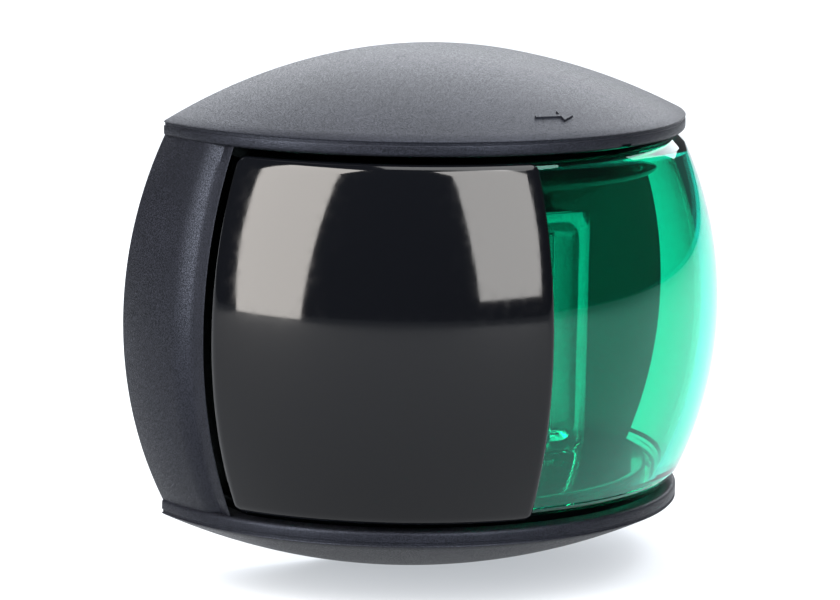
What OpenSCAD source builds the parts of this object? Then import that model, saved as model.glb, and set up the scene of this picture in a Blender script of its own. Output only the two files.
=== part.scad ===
// Compact LED starboard side light for a small boat, screwed to a bulkhead or cabin side.
//
// Frame: millimetres, +Z up, -Y outboard (the side the light shines from), +X towards the bow.
// The origin is the centre of the mounting face, which lies in the plane y = 0.
// Almost every outer surface is turned about the vertical line x = 0, y = 0. A bearing is an
// angle about that line, measured from -Y: -90 points aft, 0 outboard and +90 at the bow.

/* [Overall size] */
// Width of the top and bottom caps, which is twice their depth
cap_width = 67; // [64:0.5:72]
// Clear height between the two caps
window_height = 43.3; // [41:0.1:48]
// Height of the straight rim of each cap
rim_height = 1.3; // [1:0.1:2]
// Height of each cap's dome above its rim
dome_height = 8.1; // [7.9:0.1:10]
// How far the barrel stands out past the caps at mid height
bulge = 5.3; // [4.8:0.1:6.5]

/* [Shroud] */
// Wall thickness of the caps and of the aft wall
shroud_wall = 1.8; // [1.2:0.1:2]
// Bearing at which the aft wall ends
aft_wall_end = 67.6; // [67.4:0.1:72]
// Width and height of the line between rim and dome
groove = 0.3; // [0.2:0.05:0.5]
// Height of the raised marks on the top cap
mark_height = 0.3; // [0.2:0.05:0.6]
// Gap left between the shroud and the lamp it slides over
slide_gap = 0.25; // [0.2:0.05:0.4]

/* [Lens and screen] */
// Wall thickness of the green lens
lens_wall = 2; // [1.5:0.1:2.2]
// Thickness of the black screen bonded over the lens
screen_wall = 0.8; // [0.5:0.1:1]
// Bearing of the screen's outboard edge
screen_fore = 4.6; // [2:0.1:8]
// Bearing of the screen's aft edge
screen_aft = 66; // [62:0.1:66.2]
// Gap above and below the screen
screen_gap = 0.9; // [0.6:0.1:1.5]

/* [Base and fastening] */
// Thickness of the foam gasket behind the base
gasket_thick = 1.2; // [0.8:0.1:1.4]
// Thickness of the base plate
base_thick = 2.4; // [2:0.1:3]
// Distance between the two fixing holes
fixing_spacing = 50; // [49:0.5:50.5]
// Diameter of the fixing holes
fixing_hole = 4; // [3.6:0.1:4.3]
// Width of the two ears that hold the fixing holes
ear_width = 13; // [11:0.5:14]
// Diameter of the cable
cable_diameter = 4.6; // [4:0.1:5.5]

/* [Light engine] */
// Distance of the light's axis from the middle, towards the bow
optic_offset = 9; // [8:0.5:10.5]
// Width of the optic
optic_width = 20; // [18:0.5:22.5]
// Height of the optic
optic_height = 28.4; // [26:0.2:29.6]
// Number of LEDs on the board
led_count = 3; // [1:1:4]
// Side of one LED package
led_side = 3.5; // [2.8:0.1:4]

/* [Hidden] */
$fn = 96;
eps = 0.01;
fit = 0.05;

// Caps and barrel
cap_r = cap_width / 2;
half_window = window_height / 2;
rim_top = half_window + rim_height;
dome_foot = rim_top + groove;
dome_edge = 0.2;
dome_rise = dome_height - dome_edge;
dome_r = (cap_r * cap_r + dome_rise * dome_rise) / (2 * dome_rise);
dome_mid = dome_foot + dome_height - dome_r;
barrel_r = cap_r + bulge;
barrel_arc = (half_window * half_window + bulge * bulge) / (2 * bulge);
shroud_back = -0.5;
wall_inset = 0.05;
cap_floor = 1;

// Lens, measured inwards from the barrel
screen_out = 0.05;
lens_out = screen_out + screen_wall + fit;
lens_in = lens_out + lens_wall;
lens_top = half_window - slide_gap;
lens_floor = 1.2;
lens_room = lens_top - lens_floor;
aft_arc = barrel_arc / sin(screen_aft);
aft_x = (barrel_r - screen_out) * sin(screen_aft);

// Base, from the wall outwards
base_back = -gasket_thick;
base_front = base_back - base_thick;
seal_wall = 0.8;
base_in = lens_in + seal_wall;
ear_rim = 1.35;
ear_top = fixing_spacing / 2 + fixing_hole / 2 + ear_rim;
head_room = 4.4;

// Light box and what it holds
box_wall = 1.3;
box_front = base_front - fit - box_wall;
shelf_r = cap_r - 4.5;
shelf_low = -lens_room + fit + box_wall;
roof_top = half_window - 3.9;
roof_edge = roof_top - 1.2;
optic_low = shelf_low + fit;
optic_top = optic_low + optic_height;
optic_thick = 4;
optic_mid = (optic_low + optic_top) / 2;
optic_y = box_front - 4.2;
reflector_depth = base_front - 1.9 - optic_y - 0.1;
screw_edge = 3.1;
led_span = optic_height - 2 * screw_edge - 4.1 - led_side;
led_pitch = min(7, led_span / max(led_count - 1, 1));
board_y = base_front - 1.85;
board_thick = 1;
board_tab = 2.4;
frame_wall = 1.2;
optic_left = optic_offset - optic_width / 2;
frame_left = optic_left - frame_wall;

// Small screws: shank radius, end of the shank, and where they are as [x, z]
screw_r = 0.9;
screw_end = base_back - 0.5;
engine_screws = [for (side = [-1, 1]) [optic_offset, optic_mid + side * (optic_height / 2 - screw_edge)]];

// Driver tray, behind the screen
tray_w = 21;
tray_h = 27;
tray_d = 9.5;
tray_gap = 1.4;
tray_x = frame_left - board_tab - tray_gap - tray_w / 2;
tray_z = -3;
tray_wall = 1.2;
tray_back = box_front - fit;
card_y = tray_back - tray_wall - 2.2;
card_thick = 1.2;
part_y = card_y - card_thick;
tray_screws_at = [for (side = [-1, 1]) [tray_x - side * 7.2, tray_z + 0.6 + side * 9.6]];
wire_x = tray_x + tray_w / 2 - tray_wall - 3;
wire_y = card_y + 0.7;
wire_r = 0.35;
wire_zs = [tray_z + 1, tray_z + 4];

// Parts on the driver board: places as [x, z] from the tray's middle; sizes as width, depth, height
chip_at = [[3.6, -1.5]];
chip_size = [5, 1.5, 4];
inductor_at = [[-3.8, 4.6]];
inductor_size = [6, 3, 6];
capacitors_at = [for (z = [3.4, 6, 8.6]) [4.4, z]];
capacitor_size = [3.2, 1.6, 1.6];
diodes_at = [for (x = [-5.4, -1.8]) [x, -2]];
diode_size = [2.6, 1.1, 3.6];
resistors_at = [for (i = [0 : 3]) [-6 + 2.1 * i, -6]];
resistor_size = [1.2, 0.5, 2];
terminals_at = [for (x = [-4, 4]) [x, -9.6]];
terminal_size = [2.4, 2.6, 2.4];
part_room = 0.1;

// Notch under the rim of the top cap, and the arrow on its dome
notch_bearing = 18;
notch_width = 2;
notch_depth = 1.2;
notch_height = 0.45;
arrow_x = -0.6;
arrow_y = -29.4;
arrow_shaft = 3.4;
arrow_line = 0.36;
arrow_head = 1.7;
arrow_half = 0.95;

// Cable entry
gland_x = tray_x;
gland_z = -12.4;
gland_r = cable_diameter / 2 + 1.4;

// ---------------------------------------------------------------- shared shapes

// Profile of the barrel, set in by inset, from the axis outwards
module barrel_profile(inset, half) {
    intersection() {
        translate([barrel_r - barrel_arc, 0]) circle(r = barrel_arc - inset);
        translate([0, -half]) square([barrel_r + 5, 2 * half]);
    }
}

// Part of a turned solid between two bearings
module turned(from_bearing, to_bearing) {
    rotate([0, 0, from_bearing - 90]) rotate_extrude(angle = to_bearing - from_bearing) children();
}

// Everything in front of a plane y = back
module in_front_of(back) {
    intersection() {
        children();
        translate([-100, back - 200, -100]) cube([200, 200, 200]);
    }
}

// Region that the shroud's aft wall must stay out of, so that it can slide off
module aft_limit(inset, half) {
    rotate([90, 0, 0]) linear_extrude(height = 100) intersection() {
        translate([inset - aft_x + aft_arc, 0]) circle(r = aft_arc);
        translate([-60, -half]) square([120, 2 * half]);
    }
}

// Solid bounded by the lens, set in from it all round
module lamp_envelope(inset, aft_inset, half, back) {
    in_front_of(back) intersection() {
        turned(-90, 90) barrel_profile(inset, half);
        aft_limit(aft_inset, half);
    }
}

// Upright plate with its low corner at x, z and its front at y
module plate(x, y, z, w, thick, h) {
    translate([x, y, z]) cube([w, thick, h]);
}

// Hole or pin along Y, from y towards the wall
module along_y(x, y, z, r, length) {
    translate([x, y, z]) rotate([-90, 0, 0]) cylinder(r = r, h = length);
}

// Hole or pin along X, from x towards the bow
module along_x(x, y, z, r, length) {
    translate([x, y, z]) rotate([0, 90, 0]) cylinder(r = r, h = length);
}

// Pan-head screws along Y whose heads seat at y
module screws(places, y) {
    head = 1.2 * screw_r;
    for (place = places) {
        along_y(place[0], y - head, place[1], screw_r, screw_end - y + head);
        along_y(place[0], y - head, place[1], 1.9 * screw_r, head - fit / 2);
    }
}

// Holes for those screws, each with the given clearance, from y towards the wall
module screw_holes(places, y, clearance, length) {
    for (place = places) along_y(place[0], y, place[1], screw_r + clearance, length);
}

// ---------------------------------------------------------------- base

module base_housing() {
    color("#1c1d1f") difference() {
        union() {
            lamp_envelope(base_in, base_in, lens_room - seal_wall, base_back);
            plate(-ear_width / 2, base_front, -ear_top, ear_width, base_thick, 2 * ear_top);
        }
        translate([-100, base_front - 200, -100]) cube([200, 200, 200]);
        for (side = [-1, 1])
            along_y(0, base_front - 1, side * fixing_spacing / 2, fixing_hole / 2, base_thick + 2);
        along_y(gland_x, base_front - 1, gland_z, gland_r, base_thick + 2);
        screw_holes(concat(engine_screws, tray_screws_at), base_front - 1, fit, base_thick + 0.7);
    }
}

module mounting_gasket() {
    color("#2b2c2e") difference() {
        union() {
            intersection() {
                lamp_envelope(base_in, base_in, lens_room - seal_wall, 0);
                translate([-100, -gasket_thick + fit, -100]) cube([200, 200, 200]);
            }
            plate(-ear_width / 2, fit - gasket_thick, -ear_top, ear_width, gasket_thick - fit, 2 * ear_top);
        }
        for (side = [-1, 1])
            along_y(0, -gasket_thick - 1, side * fixing_spacing / 2, fixing_hole / 2, gasket_thick + 2);
        along_y(gland_x, -gasket_thick - 1, gland_z, gland_r + 0.4, gasket_thick + 2);
    }
}

module cable_gland() {
    color("#141414") difference() {
        union() {
            along_y(gland_x, base_front - 1, gland_z, gland_r - fit, 0.8 - base_front);
            along_y(gland_x, base_front - 1, gland_z, gland_r + 1, 1 - fit);
        }
        along_y(gland_x, base_front - 2, gland_z, cable_diameter / 2, 10);
    }
}

// ---------------------------------------------------------------- lens

module lens() {
    color("#16c79a") difference() {
        lamp_envelope(lens_out, slide_gap + 0.3, lens_top, base_back);
        lamp_envelope(lens_in, lens_in, lens_room, 10);
        for (side = [-1, 1]) lens_neck(side);
        ear_slot(2 * fit);
    }
}

// Room for the ears of the base, which stand up through the back of the lens
module ear_slot(clearance) {
    translate([-ear_width / 2 - clearance, base_front - clearance, -100])
        cube([ear_width + 2 * clearance, 10, 200]);
}

// Two shallow steps that form the lens's neck next to a cap
module lens_neck(side) {
    for (step = [0, 1])
        translate([0, 0, side * (lens_top - 0.9 - 0.9 * step)])
            rotate_extrude() translate([neck_r(step), 0]) square([10, 0.3], center = false);
}

function neck_r(step) =
    barrel_r - barrel_arc - 0.25 + sqrt(pow(barrel_arc - lens_out, 2) - pow(lens_top - 0.9 - 0.9 * step, 2));

module sector_screen() {
    screen_half = half_window - screen_gap;
    color("#0b0c0e") difference() {
        turned(-screen_aft, -screen_fore) barrel_profile(screen_out, screen_half);
        turned(-screen_aft - 5, -screen_fore + 5) barrel_profile(lens_out - fit, screen_half + 1);
    }
}

module lens_seal() {
    bead_back = base_back - 0.5;
    color("#c9ccca") difference() {
        lamp_envelope(lens_in + fit, lens_in + fit, lens_room - fit, bead_back);
        lamp_envelope(base_in - fit, base_in - fit, lens_room - seal_wall + fit, 10);
        translate([-100, bead_back - 1.6 - 200, -100]) cube([200, 200, 200]);
        ear_slot(fit);
    }
}

// ---------------------------------------------------------------- light engine

// Black moulding behind the lens: back wall, floor, and a roof that slopes down to the optic
module light_box() {
    color("#101113") difference() {
        union() {
            difference() {
                lamp_envelope(lens_in + 0.4, lens_in + 0.4, lens_room - fit, base_front - fit);
                translate([-100, box_front - 200, -100]) cube([200, 200, 200]);
            }
            box_shelf(shelf_low - box_wall, box_wall);
            box_shelf(roof_edge, roof_top - roof_edge);
            roof_web();
        }
        optic_window();
        screw_holes(tray_screws_at, box_front - 1, 0.25, box_wall + 2);
        along_y(gland_x, box_front - 1, gland_z, gland_r + 1.4, box_wall + 2);
    }
}

module box_shelf(z, thick) {
    intersection() {
        translate([0, 0, z]) cylinder(r = shelf_r, h = thick);
        lamp_envelope(lens_in + 0.4, lens_in + 0.4, lens_room - fit, box_front + eps);
    }
}

// Wedge under the roof, over the bow side of the box
module roof_web() {
    wedge_left = frame_left - board_tab;
    intersection() {
        box_shelf(optic_top - 1, roof_edge - optic_top + 1 + eps);
        translate([wedge_left, 0, 0]) rotate([90, 0, 90]) linear_extrude(height = 60)
            polygon([[box_front + eps, optic_top + frame_wall + 0.4], [box_front + eps, roof_edge + eps],
                [1 - shelf_r, roof_edge + eps], [2 - shelf_r, roof_edge - 0.4]]);
    }
}

module optic_window() {
    plate(frame_left - board_tab - 0.1, box_front - 5, optic_low - 0.02,
        optic_width + 2 * frame_wall + board_tab + 0.2, box_wall + 6, optic_height + frame_wall + 0.1);
}

// Bright trough around the LEDs, with sloping walls
module reflector() {
    color("#d8dcdc") difference() {
        plate(frame_left, optic_y + 0.1, optic_low,
            optic_width + 2 * frame_wall, reflector_depth, optic_height + frame_wall);
        trough();
        plate(optic_left - fit, optic_y, optic_low - 1, optic_width + 2 * fit, 1.2, optic_height + 1 + fit);
    }
}

module trough() {
    mouth_w = optic_width - 1;
    foot_w = led_side + 3;
    translate([optic_offset, optic_y + 1, optic_low + 1.2]) linear_extrude(height = optic_height - 2.2)
        polygon([[-mouth_w / 2, 0], [mouth_w / 2, 0], [foot_w / 2, reflector_depth + 0.2],
            [-foot_w / 2, reflector_depth + 0.2]]);
}

// Clear cover lens of the light engine, with a cylindrical rib down its middle
module optic() {
    color("#e6f5f2") intersection() {
        union() {
            plate(optic_left, optic_y - eps, optic_low, optic_width, 1.1, optic_height);
            plate(frame_left, optic_y - 1.4, optic_low, optic_width + 2 * frame_wall, 1.4,
                optic_height + frame_wall);
            translate([optic_offset, optic_y + 2.2, optic_low]) cylinder(r = 6, h = optic_height);
        }
        plate(frame_left, optic_y - optic_thick, optic_low, 60, optic_thick + 1.1, optic_height + 5);
    }
}

module led_board() {
    color("#e9ebe4") difference() {
        plate(frame_left - board_tab, board_y, optic_low, optic_width + frame_wall + board_tab,
            board_thick, optic_height);
        screw_holes(engine_screws, board_y - 1, 0.3, 4);
    }
}

module each_led() {
    for (i = [0 : led_count - 1])
        translate([optic_offset, board_y, optic_mid + (i - (led_count - 1) / 2) * led_pitch]) children();
}

module led_packages() {
    color("#f4f1dd") each_led()
        translate([-led_side / 2, -0.7, -led_side / 2]) cube([led_side, 0.7 - fit / 2, led_side]);
}

module led_domes() {
    color("#f6e27a") each_led() intersection() {
        translate([0, -0.7 - fit / 2, 0]) sphere(r = 0.42 * led_side);
        translate([-5, -5 - 0.7 - fit / 2, -5]) cube([10, 5, 10]);
    }
}

module heat_spreader() {
    color("#b9bcbf") difference() {
        plate(optic_left, base_front - 0.6, optic_low, optic_width, 0.55, optic_height);
        screw_holes(engine_screws, base_front - 3, 0.3, 4);
    }
}

module thermal_pad() {
    color("#8fa7c4") difference() {
        plate(optic_left + 1, base_front - 0.82, optic_low + 1, optic_width - 2, 0.2, optic_height - 2);
        screw_holes(engine_screws, base_front - 3, 0.7, 4);
    }
}

module light_engine_screws() {
    color("#c7c9cc") screws(engine_screws, board_y);
}

// ---------------------------------------------------------------- driver

// Open-fronted tray that is filled with potting
module driver_tray() {
    color("#17181a") difference() {
        plate(tray_x - tray_w / 2, tray_back - tray_d, tray_z - tray_h / 2, tray_w, tray_d, tray_h);
        plate(tray_x - tray_w / 2 + tray_wall, tray_back - tray_d - 1, tray_z - tray_h / 2 + tray_wall,
            tray_w - 2 * tray_wall, tray_d + 1 - tray_wall, tray_h - 2 * tray_wall);
        screw_holes(tray_screws_at, tray_back - 3, 0.25, 4);
        along_y(gland_x, tray_back - 3, gland_z, cable_diameter / 2 + 0.3, 4);
        for (z = wire_zs) along_x(tray_x + tray_w / 2 - 3, wire_y, z, wire_r + 0.2, 4);
    }
}

module driver_board() {
    w = tray_w - 2 * tray_wall - 1;
    h = tray_h - 2 * tray_wall - 1;
    color("#1f6b3c") difference() {
        plate(tray_x - w / 2, part_y, tray_z - h / 2, w, card_thick, h);
        for (z = wire_zs) along_y(wire_x, part_y - 1, z, wire_r + fit, card_thick + 2);
    }
}

// Parts of one size standing on the front of the driver board, each larger by room
module on_card(places, size, room = 0) {
    for (place = places)
        translate([tray_x + place[0] - size[0] / 2 - room, part_y - fit / 2 - size[1] - room,
            tray_z + place[1] - size[2] / 2 - room])
            cube([size[0] + 2 * room, size[1] + room, size[2] + 2 * room]);
}

module driver_chip() {
    color("#222327") on_card(chip_at, chip_size);
}

module inductor() {
    color("#3a3a3d") on_card(inductor_at, inductor_size);
}

module capacitors() {
    color("#b08d5b") on_card(capacitors_at, capacitor_size);
}

module diodes() {
    color("#2a2b2e") on_card(diodes_at, diode_size);
}

module resistors() {
    color("#313236") on_card(resistors_at, resistor_size);
}

// Two wires that lead from the driver board, through the tray's wall, to the tab of the LED board
module link_wires() {
    tab_x = frame_left - board_tab / 2 - 0.3;
    color("#b5432f") for (z = wire_zs) {
        along_y(wire_x, part_y - 0.8, z, wire_r, wire_y - part_y + 0.8);
        translate([wire_x, wire_y, z]) sphere(r = wire_r);
        along_x(wire_x, wire_y, z, wire_r, tab_x - wire_x);
        translate([tab_x, wire_y, z]) sphere(r = wire_r);
        along_y(tab_x, wire_y, z, wire_r, board_y - wire_y - eps);
    }
}

module supply_terminals() {
    color("#c9b26a") on_card(terminals_at, terminal_size);
}

// Resin poured over the driver board, with room for each part that stands in it
module potting() {
    color("#26282b") difference() {
        plate(tray_x - tray_w / 2 + tray_wall + fit, tray_back - tray_d + 0.8,
            tray_z - tray_h / 2 + tray_wall + fit, tray_w - 2 * tray_wall - 2 * fit,
            part_y - 0.9 - tray_back + tray_d, tray_h - 2 * tray_wall - 2 * fit);
        on_card(chip_at, chip_size, part_room);
        on_card(inductor_at, inductor_size, part_room);
        on_card(capacitors_at, capacitor_size, part_room);
        on_card(diodes_at, diode_size, part_room);
        on_card(resistors_at, resistor_size, part_room);
        on_card(terminals_at, terminal_size, part_room);
        for (z = wire_zs) along_y(wire_x, part_y - 3, z, wire_r + 0.1, 5);
    }
}

module tray_screws() {
    color("#c7c9cc") screws(tray_screws_at, tray_back - tray_wall);
}

// ---------------------------------------------------------------- shroud

module shroud() {
    color("#2c2e31") difference() {
        union() {
            for (side = [0, 1]) mirror([0, 0, side]) {
                cap();
                guide_ribs();
            }
            aft_wall();
            dome_arrow();
        }
        rim_notch();
    }
}

// Dome, line, rim and floor of one cap, hollow inside and open at the back for an ear
module cap() {
    in_front_of(shroud_back) difference() {
        union() {
            translate([0, 0, half_window]) cylinder(r = cap_r, h = rim_height);
            translate([0, 0, rim_top - eps]) cylinder(r = cap_r - groove, h = groove + 2 * eps);
            dome(0, cap_r);
        }
        translate([0, 0, half_window + cap_floor])
            cylinder(r = cap_r - shroud_wall, h = rim_height - cap_floor + groove + eps);
        dome(shroud_wall, cap_r - shroud_wall);
        ear_room();
    }
}

// Room in a cap for an ear and the head of its fixing screw
module ear_room() {
    reach = ear_width / 2 + slide_gap;
    translate([-reach, base_front - head_room, half_window - 1])
        cube([2 * reach, head_room - base_front + 1, ear_top + slide_gap - half_window + 1]);
}

module rim_notch() {
    rotate([0, 0, notch_bearing]) translate([-notch_width / 2, -cap_r - 1, half_window - 1])
        cube([notch_width, 1 + notch_depth, 1 + notch_height]);
}

// Slice of a sphere above the cap's line, set in by inset
module dome(inset, r) {
    intersection() {
        translate([0, 0, dome_mid]) sphere(r = dome_r - inset, $fn = 180);
        translate([0, 0, dome_foot]) cylinder(r = r, h = dome_height + 1);
    }
}

// Two ribs per cap that guide the shroud along the ears of the base
module guide_ribs() {
    rib = 1.2;
    in_front_of(shroud_back - 1) intersection() {
        union() for (x = [-ear_width / 2 - slide_gap - rib, ear_width / 2 + slide_gap])
            plate(x, -12, half_window, rib, 12, 30);
        union() {
            dome(shroud_wall - 0.2, cap_r - 1);
            translate([0, 0, half_window]) cylinder(r = cap_r - 1, h = rim_height + groove + eps);
        }
    }
}

// Aft wall, which hides the side of the lamp
module aft_wall() {
    in_front_of(shroud_back) difference() {
        turned(-90, -aft_wall_end) barrel_profile(wall_inset, half_window + eps);
        aft_limit(-slide_gap, half_window + 1);
        intersection() {
            turned(-90, -aft_wall_end) barrel_profile(wall_inset + shroud_wall, half_window - 0.8);
            translate([-100, -11, -100]) cube([200, 200, 200]);
        }
    }
}

// Raised arrow on the top cap that points at the bow
module dome_arrow() {
    difference() {
        translate([arrow_x, arrow_y, dome_foot]) linear_extrude(height = dome_height + 2) union() {
            translate([0, -arrow_line / 2]) square([arrow_shaft + eps, arrow_line]);
            polygon([[arrow_shaft, -arrow_half], [arrow_shaft, arrow_half], [arrow_shaft + arrow_head, 0]]);
        }
        translate([0, 0, dome_mid]) sphere(r = dome_r - 0.5, $fn = 180);
        difference() {
            translate([-50, -50, 0]) cube([100, 100, 100]);
            translate([0, 0, dome_mid]) sphere(r = dome_r + mark_height, $fn = 180);
        }
    }
}

base_housing();
mounting_gasket();
cable_gland();
lens();
sector_screen();
lens_seal();
light_box();
reflector();
optic();
led_board();
led_packages();
led_domes();
heat_spreader();
thermal_pad();
light_engine_screws();
driver_tray();
driver_board();
driver_chip();
inductor();
capacitors();
diodes();
resistors();
link_wires();
supply_terminals();
potting();
tray_screws();
shroud();
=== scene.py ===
"""Looks of the starboard side light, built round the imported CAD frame.

Units are metres. The light's turning axis is x = 0, y = 0. A bearing is an angle about it,
in degrees from -Y: -90 points aft, 0 outboard, +90 to the bow.
"""
import math

import bmesh
import bpy
from mathutils import Matrix, Vector


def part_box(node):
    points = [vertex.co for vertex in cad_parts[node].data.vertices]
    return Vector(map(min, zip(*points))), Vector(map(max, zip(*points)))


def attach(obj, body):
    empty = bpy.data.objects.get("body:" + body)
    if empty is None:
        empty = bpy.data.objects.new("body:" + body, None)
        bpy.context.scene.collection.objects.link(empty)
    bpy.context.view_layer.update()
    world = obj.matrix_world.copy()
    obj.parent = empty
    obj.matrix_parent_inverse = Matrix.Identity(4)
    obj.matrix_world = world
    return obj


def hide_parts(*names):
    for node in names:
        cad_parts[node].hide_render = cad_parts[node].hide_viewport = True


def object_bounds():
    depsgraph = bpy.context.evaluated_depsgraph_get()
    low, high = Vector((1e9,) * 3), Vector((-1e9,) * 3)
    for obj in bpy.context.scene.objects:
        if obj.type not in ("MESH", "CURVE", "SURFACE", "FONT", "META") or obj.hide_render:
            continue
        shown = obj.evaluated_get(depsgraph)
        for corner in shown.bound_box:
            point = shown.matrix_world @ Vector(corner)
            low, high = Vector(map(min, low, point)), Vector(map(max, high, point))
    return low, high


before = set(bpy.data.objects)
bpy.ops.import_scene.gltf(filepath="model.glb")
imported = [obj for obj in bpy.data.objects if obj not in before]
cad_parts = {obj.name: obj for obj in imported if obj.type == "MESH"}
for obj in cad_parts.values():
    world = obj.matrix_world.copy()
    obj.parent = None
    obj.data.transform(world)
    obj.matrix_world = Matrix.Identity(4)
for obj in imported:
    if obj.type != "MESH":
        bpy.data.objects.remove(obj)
cad_low, cad_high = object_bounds()
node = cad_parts

MM = 0.001

# ---------------------------------------------------------------- sizes taken from the frame
shroud_low, shroud_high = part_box("shroud")
lens_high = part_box("lens")[1]
screen_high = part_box("sector_screen")[1]
box_low, box_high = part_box("light_box")
optic_low, optic_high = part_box("optic")
reflector_low, reflector_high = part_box("reflector")

CAP_R = shroud_high.x
CAP_TOP = shroud_high.z
SHROUD_BACK = shroud_high.y
LENS_HALF = lens_high.z
LENS_BACK = lens_high.y
SLIDE_GAP = 0.25 * MM
HALF_WINDOW = LENS_HALF + SLIDE_GAP
SHROUD_WALL = 1.8 * MM
RIM_HEIGHT = 1.3 * MM
GROOVE = 0.3 * MM
DOME_EDGE = 0.2 * MM

# Barrel: radius of its outermost skin at mid height, its bulge past the caps, and the radius of its arc
WALL_INSET = 0.05 * MM
BARREL_OUT = -shroud_low.x + WALL_INSET
BULGE = BARREL_OUT - CAP_R
BARREL_ARC = (HALF_WINDOW ** 2 + BULGE ** 2) / (2 * BULGE)
LENS_WALL = 2.0 * MM
SCREEN_WALL = 0.8 * MM
SCREEN_BOND = 0.11 * MM
LENS_INSET = SCREEN_WALL + SCREEN_BOND

# Bearings of the screen's ends, the end of the aft wall and the ridge on it
SCREEN_AFT = -66.0
SCREEN_FORE = -4.6
# Overlap under the screen's aft end, from which the lens is painted black aft: painted shade for the dark
# gap between screen and wall
PAINTED_SHADE_OVERLAP = 1.5
WALL_END = -67.6
RIDGE = WALL_END - 5.4
RIDGE_START = WALL_END - 7.2
RIDGE_FOOT = RIDGE + 2.6
RIDGE_DROP = 0.55 * MM
NEAR_BACK = -88.0

SCREEN_HALF = screen_high.z
SCREEN_ROLL = 1.1 * MM
SCREEN_LINE = 0.07 * MM

# Caps: floor, slot for the base's ear, ribs that guide the ear, and the notch in the top one's rim
CAP_FLOOR = 1.0 * MM
EAR_REACH = 6.75 * MM
HEAD_ROOM = -8.0 * MM
RIB_WIDTH = 1.2 * MM
RIB_HEIGHT = 6.6 * MM
RIB_FRONT = -12 * MM
NOTCH = (16.3, 19.7)
NOTCH_DEPTH = 1.2 * MM
NOTCH_HEIGHT = 0.45 * MM

# Arrow on the top cap, pointing along +X
ARROW_TAIL = -0.6 * MM
ARROW_NECK = 2.8 * MM
ARROW_TIP = 4.5 * MM
ARROW_LINE = 0.18 * MM
ARROW_HEAD = 0.95 * MM
ARROW_Y = -29.4 * MM
ARROW_RAISE = 0.26 * MM
ARROW_SINK = 0.3 * MM

# Necks of the lens: distance below its end face and depth inside the barrel, in millimetres
UPPER_NECK = ((2.1, 0.0), (1.5, 0.03), (1.3, 0.09), (0.3, 0.64))
LOWER_NECK = ((2.1, 0.0), (1.8, 0.35), (1.2, 0.35), (0.9, 0.55), (0.3, 0.55))
NECK_START = 2.2 * MM
NECK_TOP = 0.75 * MM


def barrel(z, inset=0.0):
    """Radius of the barrel at height z, measured inset from its outermost skin."""
    return BARREL_OUT - BARREL_ARC + math.sqrt((BARREL_ARC - inset) ** 2 - z * z)


def spread(low, high, count):
    """Evenly spaced values from low to high, both included."""
    return [low + (high - low) * i / (count - 1) for i in range(count)]


def fillet(centre, radius, start, end, count=6):
    """Points on an arc in the (r, z) plane, angles in degrees."""
    return [(centre[0] + radius * math.cos(math.radians(a)), centre[1] + radius * math.sin(math.radians(a)))
            for a in spread(start, end, count)]


# ---------------------------------------------------------------- mesh helpers

def new_object(name, bm, sharp=35.0):
    """Turns a bmesh into an object, smooth except across edges sharper than the angle given."""
    bmesh.ops.remove_doubles(bm, verts=bm.verts, dist=1e-7)
    bmesh.ops.dissolve_degenerate(bm, edges=bm.edges, dist=1e-8)
    bmesh.ops.recalc_face_normals(bm, faces=bm.faces)
    for face in bm.faces:
        face.smooth = True
    for edge in bm.edges:
        if len(edge.link_faces) == 2 and edge.calc_face_angle(0.0) > math.radians(sharp):
            edge.smooth = False
    mesh = bpy.data.meshes.new(name)
    bm.to_mesh(mesh)
    bm.free()
    obj = bpy.data.objects.new(name, mesh)
    bpy.context.scene.collection.objects.link(obj)
    return obj


def ring_faces(bm, rings, closed_ring=True, close_ends=True):
    """Skins a list of equal-length vertex rings, with an end face at each end."""
    for a, b in zip(rings, rings[1:]):
        count = len(a)
        last = count if closed_ring else count - 1
        for i in range(last):
            j = (i + 1) % count
            bm.faces.new((a[i], a[j], b[j], b[i]))
    if close_ends:
        bm.faces.new(list(reversed(rings[0])))
        bm.faces.new(rings[-1])


def directions(start, end, count):
    """Unit directions in plan, from one bearing to another."""
    return [(math.sin(math.radians(b)), -math.cos(math.radians(b))) for b in spread(start, end, count)]


def aft_directions(bearing, count):
    """Directions that run straight back from the point at a bearing to the mounting plane."""
    x, y = math.sin(math.radians(bearing)), -math.cos(math.radians(bearing))
    return [(x, y * t) for t in spread(0.0, 1.0, count)]


def swept(bm, profile, path, back=0.0):
    """Sweeps a closed (r, z) profile along plan directions, pressed to stay in front of y = back."""
    reach = max(p[0] for p in profile)
    squeeze = (reach + back) / reach
    rings = [[bm.verts.new((r * dx, back + r * dy * squeeze, z)) for r, z in profile] for dx, dy in path]
    ring_faces(bm, rings)


def block(bm, low, high):
    """A plain box between two corners."""
    size = [h - l for l, h in zip(low, high)]
    mid = [(h + l) / 2 for l, h in zip(low, high)]
    bmesh.ops.create_cube(bm, size=1.0, matrix=Matrix.Translation(mid) @ Matrix.Diagonal((*size, 1.0)))


def bevel(obj, width, segments):
    """Rounds an object's sharp edges, and keeps its faces' own shading."""
    mod = obj.modifiers.new("rounding", "BEVEL")
    mod.width = width
    mod.segments = segments
    mod.limit_method = "ANGLE"
    mod.angle_limit = math.radians(40.0)
    mod.harden_normals = True
    mod.use_clamp_overlap = True
    return obj


def place(obj, body, slot, material, *replaced):
    """Rides a finished piece on a body, with its material and the CAD nodes it stands for; the slot
    argument is not used.
    """
    obj.data.materials.clear()
    obj.data.materials.append(material)
    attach(obj, body)
    if replaced:
        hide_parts(*replaced)
    return obj


# ---------------------------------------------------------------- material helpers

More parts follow.
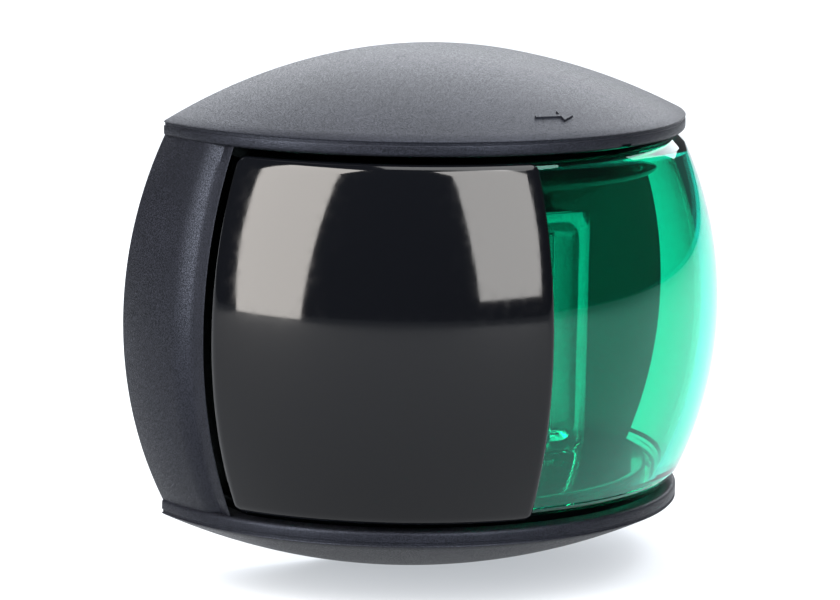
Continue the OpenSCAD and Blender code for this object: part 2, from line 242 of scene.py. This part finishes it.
class Nodes:
    """Short names for building one material's node tree."""

    def __init__(self, name, **sockets):
        self.material = bpy.data.materials.new(name)
        self.material.use_nodes = True
        self.tree = self.material.node_tree
        self.shader = self.tree.nodes["Principled BSDF"]
        for key, value in sockets.items():
            self.shader.inputs[key.replace("_", " ")].default_value = value
        coords = self.tree.nodes.new("ShaderNodeTexCoord")
        self.place = coords.outputs["Object"]

    def link(self, a, b):
        self.tree.links.new(a, b)

    def noise(self, scale, detail=2.0, rough=0.5, stretch=(1, 1, 1)):
        mapping = self.tree.nodes.new("ShaderNodeMapping")
        mapping.inputs["Scale"].default_value = stretch
        self.link(self.place, mapping.inputs["Vector"])
        tex = self.tree.nodes.new("ShaderNodeTexNoise")
        tex.inputs["Scale"].default_value = scale
        tex.inputs["Detail"].default_value = detail
        tex.inputs["Roughness"].default_value = rough
        self.link(mapping.outputs["Vector"], tex.inputs["Vector"])
        return tex.outputs["Fac"]

    def ramp(self, value, stops):
        tex = self.tree.nodes.new("ShaderNodeValToRGB")
        ramp = tex.color_ramp
        while len(ramp.elements) < len(stops):
            ramp.elements.new(0.5)
        for element, (at, colour) in zip(ramp.elements, stops):
            element.position = at
            element.color = (*colour, 1.0)
        self.link(value, tex.inputs["Fac"])
        return tex.outputs["Color"]

    def remap(self, value, low, high, to_low=0.0, to_high=1.0):
        tex = self.tree.nodes.new("ShaderNodeMapRange")
        for key, number in (("From Min", low), ("From Max", high), ("To Min", to_low), ("To Max", to_high)):
            tex.inputs[key].default_value = number
        self.link(value, tex.inputs["Value"])
        return tex.outputs["Result"]

    def mix(self, fac, a, b):
        tex = self.tree.nodes.new("ShaderNodeMix")
        tex.data_type = "RGBA"
        for key, value in ((0, fac), (6, a), (7, b)):
            if isinstance(value, (int, float, tuple)):
                tex.inputs[key].default_value = value
            else:
                self.link(value, tex.inputs[key])
        return tex.outputs[2]

    def bump(self, height, strength, distance, before=None):
        tex = self.tree.nodes.new("ShaderNodeBump")
        tex.inputs["Strength"].default_value = strength
        tex.inputs["Distance"].default_value = distance
        self.link(height, tex.inputs["Height"])
        if before is not None:
            self.link(before, tex.inputs["Normal"])
        return tex.outputs["Normal"]

    def aft_of(self, bearing):
        """1 where the surface lies aft of a bearing, 0 elsewhere."""
        split = self.tree.nodes.new("ShaderNodeSeparateXYZ")
        self.link(self.place, split.inputs["Vector"])
        turn = self.tree.nodes.new("ShaderNodeMath")
        turn.operation = "DIVIDE"
        self.link(split.outputs["X"], turn.inputs[0])
        self.link(split.outputs["Y"], turn.inputs[1])
        edge = math.tan(math.radians(-bearing))
        return self.remap(turn.outputs["Value"], edge, edge * 1.001)

    def to(self, name, value):
        self.link(value, self.shader.inputs[name])


def grained(name, dark, light, roughness, grain=3600.0, depth=0.03 * MM, strength=0.5, specular=0.5,
            tint=(1.0, 1.0, 1.0), sparkle=0.07):
    """Moulded plastic with a fine spark-eroded grain."""
    n = Nodes(name, IOR=1.5, Specular_IOR_Level=specular)
    n.shader.inputs["Specular Tint"].default_value = (*tint, 1.0)
    fine = n.noise(grain, 3.0, 0.6)
    broad = n.noise(90.0, 2.0)
    speck = n.ramp(fine, [(0.42, dark), (0.66, light)])
    tone = n.mix(n.remap(broad, 0.3, 0.7, 0.0, 0.35), speck, (*[c * 0.8 for c in dark], 1.0))
    n.to("Base Color", tone)
    n.to("Roughness", n.remap(fine, 0.35, 0.65, roughness + sparkle, roughness - sparkle))
    n.to("Normal", n.bump(fine, strength, depth))
    return n.material


def polished(name, colour, roughness, wave=0.02 * MM, scale=60.0, ior=1.52, streak=0.0):
    """Polished moulding: a faint broad wave, and fine dust in its roughness."""
    n = Nodes(name, Base_Color=(*colour, 1.0), IOR=ior)
    n.to("Roughness", n.remap(n.noise(900.0, 3.0), 0.45, 0.8, roughness, roughness + 0.05))
    broad = n.bump(n.noise(scale, 1.0), 0.3, wave)
    fine = n.bump(n.noise(1100.0, 3.0, 0.6, (1.0, 1.0, 0.07)), 0.5, streak, broad) if streak else broad
    n.to("Normal", fine)
    return n.material


def clear_plastic(name, colour, roughness, ior, wave=0.01 * MM, shade_painted_aft=None, tint=(1.0, 1.0, 1.0)):
    """Clear or dyed transparent moulding; a bearing, if given, blacks it out aft of that bearing as painted
    shade.
    """
    n = Nodes(name, IOR=ior, Transmission_Weight=1.0)
    n.shader.inputs["Specular Tint"].default_value = (*tint, 1.0)
    streak = n.noise(40.0, 2.0, 0.5, (1.0, 1.0, 0.25))
    pale = tuple(min(1.0, c * 1.03) for c in colour)
    deep = tuple(c * 0.96 for c in colour)
    dye_and_painted_shade = n.ramp(streak, [(0.35, deep), (0.65, pale)])
    # Painted shade: black dye aft of the bearing, standing in for the shadow in the gap beside the screen
    if shade_painted_aft is not None:
        dye_and_painted_shade = n.mix(n.aft_of(shade_painted_aft), dye_and_painted_shade, (0.0, 0.0, 0.0, 1.0))
    n.to("Base Color", dye_and_painted_shade)
    n.to("Roughness", n.remap(n.noise(700.0, 3.0), 0.5, 0.85, roughness, roughness + 0.03))
    n.to("Normal", n.bump(n.noise(70.0, 1.0), 0.25, wave))
    return n.material


def metal(name, colour, roughness, scale=900.0, stretch=(1, 1, 1)):
    """Metal with a fine directional finish."""
    n = Nodes(name, Metallic=1.0)
    fine = n.noise(scale, 3.0, 0.6, stretch)
    n.to("Base Color", n.ramp(fine, [(0.3, tuple(c * 0.85 for c in colour)), (0.7, colour)]))
    n.to("Roughness", n.remap(fine, 0.3, 0.7, roughness, roughness + 0.12))
    n.to("Normal", n.bump(fine, 0.2, 0.01 * MM))
    return n.material


def soft_rubber(name, colour, roughness=0.7, grain=2200.0):
    """Rubber, foam or silicone, with small pores."""
    n = Nodes(name, IOR=1.45)
    fine = n.noise(grain, 4.0, 0.65)
    n.to("Base Color", n.ramp(fine, [(0.35, tuple(c * 0.7 for c in colour)), (0.7, colour)]))
    n.to("Roughness", n.remap(fine, 0.3, 0.7, roughness + 0.1, roughness - 0.08))
    n.to("Normal", n.bump(fine, 0.45, 0.06 * MM))
    return n.material


# ---------------------------------------------------------------- materials
SHROUD_GRAIN = grained("shroud_grain", (0.0002, 0.0002, 0.0003), (0.013, 0.014, 0.0195), 0.42,
                       6800.0, 0.035 * MM, 0.8, 0.13, (0.66, 0.76, 1.0), 0.16)
BASE_GRAIN = grained("base_grain", (0.012, 0.012, 0.013), (0.03, 0.031, 0.033), 0.55)
TRAY_GRAIN = grained("tray_grain", (0.012, 0.012, 0.013), (0.028, 0.028, 0.031), 0.6)
SCREEN_GLOSS = polished("screen_gloss", (0.0012, 0.0014, 0.002), 0.06, ior=1.3, streak=0.0035 * MM)
BOX_GLOSS = polished("box_gloss", (0.012, 0.013, 0.014), 0.09, 0.03 * MM, 120.0)
# The lens is painted black aft of the screen's aft end: painted shade in the gap between screen and wall
LENS_GREEN = clear_plastic("lens_green", (0.003, 0.73, 0.49), 0.0, 1.49,
                           shade_painted_aft=SCREEN_AFT + PAINTED_SHADE_OVERLAP, tint=(0.35, 0.9, 0.75))
OPTIC_CLEAR = clear_plastic("optic_clear", (0.93, 0.97, 0.96), 0.03, 1.49)
REFLECTOR_BRIGHT = metal("reflector_bright", (0.5, 0.52, 0.52), 0.14, 3000.0)
GASKET_FOAM = soft_rubber("gasket_foam", (0.035, 0.035, 0.037), 0.85, 1500.0)
GLAND_RUBBER = soft_rubber("gland_rubber", (0.022, 0.022, 0.022), 0.6)
SEAL_SILICONE = soft_rubber("seal_silicone", (0.5, 0.52, 0.51), 0.35, 600.0)
PAD_SILICONE = soft_rubber("pad_silicone", (0.3, 0.4, 0.55), 0.6, 900.0)
BOARD_WHITE = polished("board_white", (0.74, 0.75, 0.72), 0.25)
LED_PACKAGE = polished("led_package", (0.8, 0.78, 0.66), 0.3)
LED_SILICONE = polished("led_silicone", (0.85, 0.66, 0.12), 0.15)
BOARD_GREEN = polished("board_green", (0.02, 0.13, 0.05), 0.25)
CHIP_EPOXY = grained("chip_epoxy", (0.015, 0.015, 0.015), (0.035, 0.035, 0.036), 0.5, 5000.0)
FERRITE = grained("ferrite", (0.04, 0.04, 0.042), (0.09, 0.09, 0.095), 0.6, 2600.0)
CERAMIC = grained("ceramic", (0.3, 0.2, 0.11), (0.46, 0.33, 0.19), 0.4, 3000.0)
WIRE_RED = polished("wire_red", (0.45, 0.04, 0.02), 0.3)
RESIN = polished("resin", (0.014, 0.0145, 0.017), 0.12, 0.1 * MM, 150.0)
SPREADER = metal("spreader_aluminium", (0.72, 0.73, 0.75), 0.3, 700.0, (1, 1, 12))
SCREW_STEEL = metal("screw_steel", (0.7, 0.71, 0.72), 0.2)
TERMINAL_TIN = metal("terminal_tin", (0.72, 0.67, 0.52), 0.25)


# ---------------------------------------------------------------- shroud

def cap_profile(side, notched=False):
    """Closed section of a cap: rim, line, dome and hollow, as (r, z)."""
    top = CAP_TOP
    rim_top = HALF_WINDOW + RIM_HEIGHT
    foot = rim_top + GROOVE
    rise = top - foot - DOME_EDGE
    ball = (CAP_R ** 2 + rise ** 2) / (2 * rise)
    centre = top - ball
    edge = math.degrees(math.atan2(foot + DOME_EDGE - centre, CAP_R))
    inner_r = CAP_R - SHROUD_WALL
    inner_ball = ball - SHROUD_WALL
    inner_edge = math.degrees(math.acos(inner_r / inner_ball))
    soft = 0.45 * MM
    small = 0.12 * MM
    points = [(inner_r, HALF_WINDOW), (CAP_R - NOTCH_DEPTH - 0.01 * MM, HALF_WINDOW),
              (CAP_R - NOTCH_DEPTH, HALF_WINDOW)]
    points += fillet((CAP_R - soft, HALF_WINDOW + soft), soft, -90, 0)
    points += fillet((CAP_R - small, rim_top - small), small, 0, 90, 4)
    points += [(CAP_R - GROOVE / 2, rim_top), (CAP_R - GROOVE / 2, foot)]
    points += fillet((CAP_R - small, foot + small), small, -90, 0, 4)
    points += fillet((0.0, centre), ball, edge + 0.12, 90, 26)
    points += list(reversed(fillet((0.0, centre), inner_ball, inner_edge, 90, 18)))
    if notched:
        lift = HALF_WINDOW + NOTCH_HEIGHT
        points = [(r, max(z, lift) if r >= CAP_R - NOTCH_DEPTH else z) for r, z in points]
    return [(max(r, 0.0), side * z) for r, z in points]


def cap_rings(bm, side):
    """Sweeps a cap from aft to bow; the top one has a small notch under its rim."""
    reach = max(r for r, z in cap_profile(side))
    squeeze = (reach + SHROUD_BACK) / reach
    bearings = spread(-90, 90, 121)
    if side > 0:
        cuts = [NOTCH[0] - 0.05, NOTCH[0], NOTCH[1], NOTCH[1] + 0.05]
        bearings = sorted([b for b in bearings if all(abs(b - c) > 0.3 for c in cuts)] + cuts)
    rings = []
    for b in bearings:
        dx, dy = math.sin(math.radians(b)), -math.cos(math.radians(b))
        profile = cap_profile(side, side > 0 and NOTCH[0] <= b <= NOTCH[1])
        rings.append([bm.verts.new((r * dx, SHROUD_BACK + r * dy * squeeze, z)) for r, z in profile])
    ring_faces(bm, rings)


def cap_floor(bm, side):
    """Floor of a cap, with a slot at the back for the ear of the base."""
    edge = CAP_R - SHROUD_WALL + 0.5 * MM
    outline = [(edge * dx, SHROUD_BACK + edge * dy * 0.985) for dx, dy in directions(-90, 90, 91)]
    outline += [(EAR_REACH, SHROUD_BACK), (EAR_REACH, HEAD_ROOM), (-EAR_REACH, HEAD_ROOM),
                (-EAR_REACH, SHROUD_BACK)]
    low, high = HALF_WINDOW + 0.01 * MM, HALF_WINDOW + CAP_FLOOR
    ring_faces(bm, [[bm.verts.new((x, y, side * z)) for x, y in outline] for z in (low, high)])


def guide_ribs(bm, side):
    """Two ribs in a cap that guide it along the ear."""
    foot, top = HALF_WINDOW + CAP_FLOOR / 2, HALF_WINDOW + RIB_HEIGHT
    for low_x in (EAR_REACH, -EAR_REACH - RIB_WIDTH):
        ends = sorted((side * foot, side * top))
        block(bm, (low_x, RIB_FRONT, ends[0]), (low_x + RIB_WIDTH, SHROUD_BACK, ends[1]))


def aft_section(z):
    """Plan outline of the aft wall at height z, as (x, y): skin, ridge, nose, then the inside."""
    outer = barrel(z, WALL_INSET)
    inner_x = -(barrel(z, 0.05 * MM) * math.sin(math.radians(-SCREEN_AFT)) + SLIDE_GAP)
    skin = outer - SHROUD_WALL

    def on_arc(radius, bearing):
        return radius * math.sin(math.radians(bearing)), -radius * math.cos(math.radians(bearing))

    start = on_arc(outer, RIDGE_START)
    ridge = on_arc(outer, RIDGE)
    nose_y = inner_x / math.tan(math.radians(-WALL_END))
    points = [(-outer, SHROUD_BACK)]
    points += [on_arc(outer, b) for b in spread(NEAR_BACK, RIDGE_START - 0.5, 12)]
    foot = on_arc(outer - RIDGE_DROP, RIDGE_FOOT)
    for t in spread(0.0, 1.0, 7):
        a, b, c = (1 - t) ** 2, 2 * t * (1 - t), t * t
        points.append(tuple(a * p + b * q + c * r for p, q, r in zip(start, ridge, foot)))
    points += [(inner_x - 0.12 * MM, nose_y + 0.25 * MM), (inner_x, nose_y), (inner_x, nose_y + 0.4 * MM)]
    pocket = -11 * MM
    pocket_x = -math.sqrt(skin ** 2 - pocket ** 2)
    points += [(inner_x, pocket), (min(pocket_x, inner_x), pocket)]
    points += [on_arc(skin, b) for b in spread(-75.0, NEAR_BACK, 8)]
    points += [(-skin, SHROUD_BACK)]
    return points


def arrow_marks(bm):
    """Raised arrow on the top cap that points to the bow."""
    rim_top = HALF_WINDOW + RIM_HEIGHT
    rise = CAP_TOP - rim_top - GROOVE - DOME_EDGE
    ball = (CAP_R ** 2 + rise ** 2) / (2 * rise)
    centre = CAP_TOP - ball

    def on_dome(x, y, height):
        return x, y, centre + math.sqrt((ball + height) ** 2 - x * x - y ** 2)

    half = [(ARROW_TAIL, ARROW_LINE), (ARROW_NECK, ARROW_LINE), (ARROW_NECK, ARROW_HEAD)]
    outline = [(x, -dy) for x, dy in half] + [(ARROW_TIP, 0.0)] + list(reversed(half))
    ring_faces(bm, [[bm.verts.new(on_dome(x, ARROW_Y + dy, height)) for x, dy in outline]
                    for height in (-ARROW_SINK, ARROW_RAISE)])


def build_shroud():
    bm = bmesh.new()
    for side in (1, -1):
        cap_rings(bm, side)
        cap_floor(bm, side)
        guide_ribs(bm, side)
    heights = spread(-HALF_WINDOW - 0.2 * MM, HALF_WINDOW + 0.2 * MM, 57)
    rings = [[bm.verts.new((x, y, z)) for x, y in aft_section(z)] for z in heights]
    ring_faces(bm, rings)
    arrow_marks(bm)
    obj = new_object("shroud_shell", bm, 30.0)
    return place(obj, "shroud", "shroud_plastic", SHROUD_GRAIN, "shroud")


# ---------------------------------------------------------------- lens and screen

def lens_path():
    """Round the barrel, then straight back along its aft side."""
    return aft_directions(SCREEN_AFT, 14)[:-1] + directions(SCREEN_AFT, 90, 150)


def lens_profile():
    """Closed section of the lens: a tapered neck above, a stepped one below, plain inside."""
    floor = LENS_HALF - 1.2 * MM

    def neck(steps):
        skin = [(barrel(z, LENS_INSET), z) for z in spread(0.0, LENS_HALF - NECK_START, 26)]
        for low, depth in steps:
            z = LENS_HALF - low * MM
            skin.append((barrel(z, LENS_INSET) - depth * MM, z))
        end_r = barrel(LENS_HALF, LENS_INSET) - NECK_TOP
        return skin + [(end_r, LENS_HALF), (0.0, LENS_HALF), (0.0, floor)]

    upper = neck(UPPER_NECK)
    inner = [(barrel(z, LENS_INSET + LENS_WALL), z) for z in spread(0.0, floor - 1.0 * MM, 22)]
    inner += fillet((inner[-1][0] - 1.0 * MM, floor - 1.0 * MM), 1.0 * MM, 12, 90, 6)
    lower = [(r, -z) for r, z in neck(LOWER_NECK)[1:]]
    inside_low = [(r, -z) for r, z in inner[1:]]
    return list(reversed(lower)) + upper + list(reversed(inner)) + inside_low


def build_lens():
    bm = bmesh.new()
    swept(bm, lens_profile(), lens_path(), LENS_BACK)
    obj = new_object("green_lens", bm, 28.0)
    return place(obj, "lamp", "lens_green", LENS_GREEN, "lens")


def build_screen():
    """Gloss screen: a curved plate with rounded corners, rolled edges and a fine step inside its rim."""
    radius = barrel(0.0)
    width = math.radians(SCREEN_FORE - SCREEN_AFT) * radius
    corner = roll = SCREEN_ROLL
    line_reach = roll * 1.915

    def stations(length, edge):
        near = [0.0, 0.04, 0.12, 0.25, 0.42, 0.62, 0.85, 1.0]
        inner = [t * edge for t in near] + [edge * 1.6, edge * 1.9, edge * 1.93, edge * 2.2]
        middle = spread(inner[-1], length - inner[-1], 34)[1:-1]
        return inner + middle + [length - t for t in reversed(inner)]

    def drop(d):
        """How far the surface falls below the screen's outer skin at distance d from its edge."""
        if d >= roll:
            return 0.0
        return 0.5 * MM * (1 - math.sqrt(max(0.0, 1 - (1 - d / roll) ** 2)))

    def ring(u, inset, lower):
        cut = corner - math.sqrt(max(0.0, corner ** 2 - (corner - min(u, width - u, corner)) ** 2))
        bearing = math.radians(SCREEN_AFT) + u / radius
        points = []
        for v in stations(1.0, roll / (2 * SCREEN_HALF)):
            z = (v - 0.5) * 2 * (SCREEN_HALF - cut)
            gap = min(u, width - u, SCREEN_HALF - cut - abs(z))
            line = SCREEN_LINE if width - u < line_reach else 0.0
            r = barrel(z, inset) - (0.0 if lower else drop(gap) + line)
            points.append((r * math.sin(bearing), -r * math.cos(bearing), z))
        return points

    bm = bmesh.new()
    across = stations(width, roll)
    outer = [[bm.verts.new(p) for p in ring(u, 0.05 * MM, False)] for u in across]
    inner = [[bm.verts.new(p) for p in ring(u, LENS_INSET - 0.05 * MM, True)] for u in across]
    ring_faces(bm, outer, False, False)
    ring_faces(bm, [list(reversed(r)) for r in inner], False, False)
    for skin, under in ((outer[0], inner[0]), (outer[-1], inner[-1])):
        ring_faces(bm, [skin, under], False, False)
    for end in (0, -1):
        ring_faces(bm, [[r[end] for r in outer], [r[end] for r in inner]], False, False)
    obj = new_object("gloss_screen", bm, 40.0)
    return place(obj, "lamp", "screen_plastic", SCREEN_GLOSS, "sector_screen")


# ---------------------------------------------------------------- light box, optic and reflector

BOX_BACK = box_high.y
BOX_WALL = 1.3 * MM
BOX_FRONT = BOX_BACK - BOX_WALL
SHELF_R = -box_low.y
SHELF_LOW = box_low.z + BOX_WALL
ROOF_TOP = HALF_WINDOW - 3.9 * MM
ROOF_LOW = ROOF_TOP - 1.2 * MM
ROOF_START = -2.0
ROOF_SWEEP = 88.0
FRAME_WALL = 1.2 * MM


def shelf_profile(low, high, radius):
    """Closed section of a shelf with a rounded outer edge."""
    half = (high - low) / 2
    return [(0.0, low)] + fillet((radius - half, low + half), half, -90, 90, 9) + [(0.0, high)]


def build_light_box():
    """Back wall, rounded shelves, and the roof that slopes down to the top of the optic."""
    bm = bmesh.new()
    inset = LENS_INSET + LENS_WALL + 0.4 * MM
    heights = spread(SHELF_LOW - BOX_WALL, -SHELF_LOW + BOX_WALL, 41)
    aft = math.sin(math.radians(-SCREEN_AFT))
    outline = [(barrel(z, inset), z) for z in heights]
    outline += [(-barrel(z, inset) * aft, z) for z in reversed(heights)]
    rings = [[bm.verts.new((x, y, z)) for x, z in outline] for y in (BOX_BACK, BOX_FRONT)]
    ring_faces(bm, rings)
    path = aft_directions(SCREEN_AFT, 8)[:-1] + directions(SCREEN_AFT, 90, 90)
    swept(bm, shelf_profile(SHELF_LOW - BOX_WALL, SHELF_LOW, SHELF_R), path, BOX_FRONT + 0.1 * MM)
    swept(bm, shelf_profile(ROOF_LOW, ROOF_TOP, SHELF_R), path, BOX_FRONT + 0.1 * MM)
    roof(bm)
    obj = new_object("light_box_shell", bm, 30.0)
    return place(obj, "lamp", "box_plastic", BOX_GLOSS, "light_box")


def roof(bm):
    """Sloping roof between the shelf's edge and the optic's top edge."""
    top_z = optic_high.z + 0.2 * MM
    left = optic_low.x - 2.4 * MM
    reach = SHELF_R - 1.2 * MM
    wall_y = BOX_FRONT + 0.05 * MM
    roof_z = ROOF_LOW + 0.1 * MM
    rim = [(left, -math.sqrt(reach ** 2 - left ** 2))]
    for t in spread(0.0, 1.0, 40):
        bearing = math.radians(ROOF_START + t * ROOF_SWEEP)
        x, y = reach * math.sin(bearing), -reach * math.cos(bearing)
        if x > left and y < BOX_FRONT - 0.2 * MM:
            rim.append((x, y))
    upper = [bm.verts.new((x, y, roof_z)) for x, y in rim]
    lower = []
    for x, y in rim:
        beyond = max(0.0, (x - optic_high.x) / (rim[-1][0] - optic_high.x))
        lower.append(bm.verts.new((x, wall_y, top_z + (ROOF_LOW - top_z) * beyond)))
    back = [bm.verts.new((x, wall_y, roof_z)) for x, y in rim]
    for a, b in ((upper, lower), (lower, back), (back, upper)):
        for i in range(len(a) - 1):
            bm.faces.new((a[i], a[i + 1], b[i + 1], b[i]))
    bm.faces.new((upper[0], lower[0], back[0]))
    bm.faces.new((upper[-1], back[-1], lower[-1]))


def build_optic():
    """Clear cover with rounded corners and a rib that spreads the light sideways."""
    bm = bmesh.new()
    low, high = optic_low, optic_high
    flange = high.y - 1.1 * MM
    block(bm, (low.x, flange - 1.4 * MM, low.z), (high.x, flange, high.z))
    cover = bevel(new_object("optic_cover", bm), 0.6 * MM, 4)
    place(cover, "lamp", "optic_clear", OPTIC_CLEAR, "optic")
    bm = bmesh.new()
    mid = (low.x + high.x) / 2
    profile = [(mid + 6 * MM * math.sin(a), flange - 1.45 * MM + 2.2 * MM - 6 * MM * math.cos(a))
               for a in spread(-1.0, 1.0, 25)]
    profile = [(x, min(y, flange - 1.42 * MM)) for x, y in profile]
    rings = [[bm.verts.new((x, y, z)) for x, y in profile] for z in (low.z + 1 * MM, high.z - 2 * MM)]
    ring_faces(bm, rings)
    rib = bevel(new_object("optic_rib", bm), 0.3 * MM, 3)
    place(rib, "lamp", "optic_clear", OPTIC_CLEAR, "optic")


def build_reflector():
    """Bright trough: sloping walls from the optic's frame down to the LED board."""
    low, high = reflector_low, reflector_high
    bm = bmesh.new()
    foot_w, foot_h = 3.4 * MM, 13.4 * MM
    mid_x, mid_z = (low.x + high.x) / 2, (low.z + high.z) / 2
    half_w, half_h = (high.x - low.x) / 2, (high.z - low.z) / 2

    def frame_ring(w, h, y):
        corner = min(w, h) * 0.22
        points = []
        for sx, sz, start in ((1, 1, 0), (-1, 1, 90), (-1, -1, 180), (1, -1, 270)):
            for a in spread(start, start + 90, 6):
                points.append((mid_x + sx * (w - corner) + corner * math.cos(math.radians(a)), y,
                               mid_z + sz * (h - corner) + corner * math.sin(math.radians(a))))
        return [bm.verts.new(p) for p in points]

    rings = [frame_ring(half_w, half_h, high.y), frame_ring(half_w, half_h, low.y),
             frame_ring(half_w - FRAME_WALL, half_h - FRAME_WALL, low.y),
             frame_ring(half_w - FRAME_WALL - 0.6 * MM, half_h - FRAME_WALL - 0.6 * MM, low.y + 0.7 * MM),
             frame_ring(foot_w, foot_h, high.y)]
    ring_faces(bm, rings + [rings[0]], True, False)
    obj = new_object("reflector_trough", bm, 25.0)
    return place(obj, "lamp", "reflector_metal", REFLECTOR_BRIGHT, "reflector")


# ---------------------------------------------------------------- CAD nodes that keep their shape

def dress(name, material):
    """Gives a CAD node its material."""
    obj = node[name]
    obj.data.materials.clear()
    obj.data.materials.append(material)


def dress_cad_nodes():
    dress("base_housing", BASE_GRAIN)
    dress("mounting_gasket", GASKET_FOAM)
    dress("cable_gland", GLAND_RUBBER)
    dress("lens_seal", SEAL_SILICONE)
    dress("led_board", BOARD_WHITE)
    dress("led_packages", LED_PACKAGE)
    dress("led_domes", LED_SILICONE)
    dress("heat_spreader", SPREADER)
    dress("thermal_pad", PAD_SILICONE)
    dress("light_engine_screws", SCREW_STEEL)
    dress("driver_tray", TRAY_GRAIN)
    dress("driver_board", BOARD_GREEN)
    dress("driver_chip", CHIP_EPOXY)
    dress("inductor", FERRITE)
    dress("capacitors", CERAMIC)
    dress("diodes", CHIP_EPOXY)
    dress("resistors", CHIP_EPOXY)
    dress("link_wires", WIRE_RED)
    dress("supply_terminals", TERMINAL_TIN)
    dress("potting", RESIN)
    dress("tray_screws", SCREW_STEEL)


# ---------------------------------------------------------------- studio

FLOOR_R = 2.6
CAMERA_BEARING = -31.0
CAMERA_ELEVATION = 9.55
CAMERA_ROLL = 0.92
CAMERA_DISTANCE = 0.46
SENSOR_WIDTH = 36.0
FOCAL_LENGTH = 161.142857
CAMERA_SHIFT = (0.017857, -0.002857)

# name, bearing, elevation, distance, width, height, radiance, colour
SOFTBOXES = (
    ("left_box", -79, 30, 0.75, 0.375, 0.92, 25.5, (1.0, 0.95, 0.90)),
    ("front_box", 6.2, 33, 0.75, 0.338, 0.80, 18.6, (1.0, 0.975, 0.95)),
    ("top_box", 60, 75, 0.9, 0.7, 0.7, 7.0, (1, 1, 1)),
    ("back_box", 146, 38, 1.6, 2.7, 1.6, 4.4, (0.93, 0.955, 1.0)),
)


def outward(bearing, elevation):
    """Unit direction away from the light's middle, angles in degrees."""
    b, e = math.radians(bearing), math.radians(elevation)
    return Vector((math.sin(b) * math.cos(e), -math.cos(b) * math.cos(e), math.sin(e)))


def plain(name, colour, roughness, glow):
    """Even material that also glows a little in its own colour."""
    n = Nodes(name, Base_Color=(*colour, 1.0), Roughness=roughness)
    n.shader.inputs["Emission Color"].default_value = (*colour, 1.0)
    n.shader.inputs["Emission Strength"].default_value = glow
    return n.material


def build_floor():
    bm = bmesh.new()
    turns = spread(0, 2 * math.pi, 65)[:-1]
    bm.faces.new([bm.verts.new((FLOOR_R * math.cos(a), FLOOR_R * math.sin(a), cad_low.z)) for a in turns])
    floor = new_object("floor", bm)
    floor.data.materials.append(plain("pale_floor", (0.19, 0.2, 0.212), 0.8, 2.35))


def softbox(name, bearing, elevation, distance, width, height, radiance, colour):
    """Rectangular area light aimed at the light's middle, as bright per area as radiance says."""
    light = bpy.data.lights.new(name, "AREA")
    light.shape = "RECTANGLE"
    light.size = width
    light.size_y = height
    light.energy = radiance * math.pi * width * height
    light.color = colour
    away = outward(bearing, elevation)
    obj = bpy.data.objects.new(name, light)
    obj.location = away * distance
    obj.rotation_euler = away.to_track_quat("Z", "Y").to_euler()
    bpy.context.scene.collection.objects.link(obj)


def build_world():
    world = bpy.data.worlds.new("room")
    world.use_nodes = True
    sky = world.node_tree.nodes["Background"]
    sky.inputs["Color"].default_value = (0.93, 0.96, 1.0, 1.0)
    sky.inputs["Strength"].default_value = 0.09
    bpy.context.scene.world = world


def build_camera():
    """Camera at the photograph's viewing angle."""
    bearing = math.radians(CAMERA_BEARING)
    away = outward(CAMERA_BEARING, CAMERA_ELEVATION)
    camera = bpy.data.cameras.new("camera")
    camera.sensor_width = SENSOR_WIDTH
    camera.lens = FOCAL_LENGTH
    camera.shift_x, camera.shift_y = CAMERA_SHIFT
    camera.clip_start = 0.02
    obj = bpy.data.objects.new("camera", camera)
    right = Vector((math.cos(bearing), math.sin(bearing), 0.0))
    up = away.cross(right)
    turn = Matrix((right, up, away)).transposed() @ Matrix.Rotation(math.radians(CAMERA_ROLL), 3, "Z")
    obj.matrix_world = Matrix.Translation(away * CAMERA_DISTANCE) @ turn.to_4x4()
    bpy.context.scene.collection.objects.link(obj)
    bpy.context.scene.camera = obj


bpy.context.scene.view_settings.view_transform = "Standard"
build_camera()
build_world()
build_floor()
for box in SOFTBOXES:
    softbox(*box)
build_shroud()
build_lens()
build_screen()
build_light_box()
build_optic()
build_reflector()
dress_cad_nodes()
